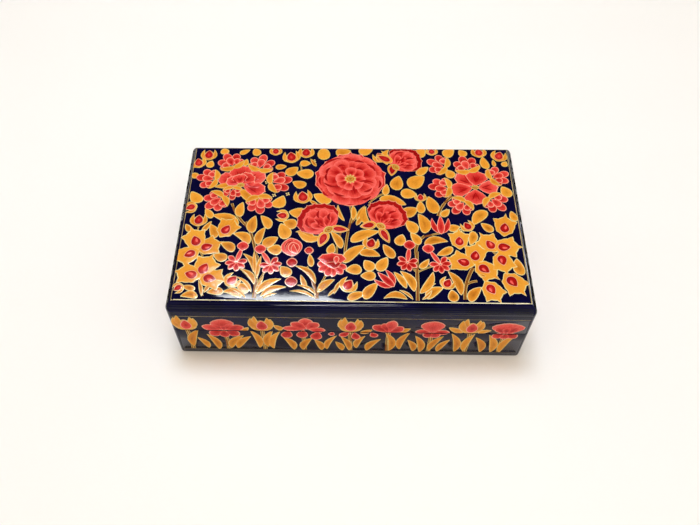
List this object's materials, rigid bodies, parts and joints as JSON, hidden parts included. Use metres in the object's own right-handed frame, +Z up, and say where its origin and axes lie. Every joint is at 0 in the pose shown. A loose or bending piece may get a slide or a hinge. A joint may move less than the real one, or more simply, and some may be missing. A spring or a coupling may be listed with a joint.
{
  "type": "papier mache box",
  "caption": "Flat rectangular lacquered papier-mache box with a rounded lid on brass butt hinges, painted all over with flowers and leaves.",
  "frame": {"origin": "middle of the underside, under the middle of the box without its hinges", "axes": "+X along the length, +Y from the front towards the hinged back, +Z up through the lid"},
  "size_m": [0.2, 0.1222, 0.052],
  "materials": {
    "lacquered_board": "high-gloss varnish over dark blue-black lacquer",
    "painted_ornament": "painted flowers and leaves under gloss varnish",
    "velvet_lining": "short velvet pile",
    "hinge_brass": "satin, slightly dulled"
  },
  "bodies": {
    "base": {"base_floor": "lacquered_board", "base_front_wall": "lacquered_board", "base_back_wall": "lacquered_board", "base_left_wall": "lacquered_board", "base_right_wall": "lacquered_board", "floor_lining": "velvet_lining", "left_hinge_base_leaf": "hinge_brass", "left_hinge_pin": "hinge_brass", "left_hinge_base_nails": "hinge_brass", "right_hinge_base_leaf": "hinge_brass", "right_hinge_pin": "hinge_brass", "right_hinge_base_nails": "hinge_brass"},
    "lid": {"lid_top_panel": "lacquered_board", "lid_front_wall": "lacquered_board", "lid_back_wall": "lacquered_board", "lid_left_wall": "lacquered_board", "lid_right_wall": "lacquered_board", "left_hinge_lid_leaf": "hinge_brass", "left_hinge_lid_nails": "hinge_brass", "right_hinge_lid_leaf": "hinge_brass", "right_hinge_lid_nails": "hinge_brass"}
  },
  "joints": [
    {"name": "lid_hinge", "type": "hinge", "parent": "base", "child": "lid", "pos_m": [0, 0.06125, 0.02655], "axis": [-1, 0, 0], "range_deg": [0, 180]}
  ]
}
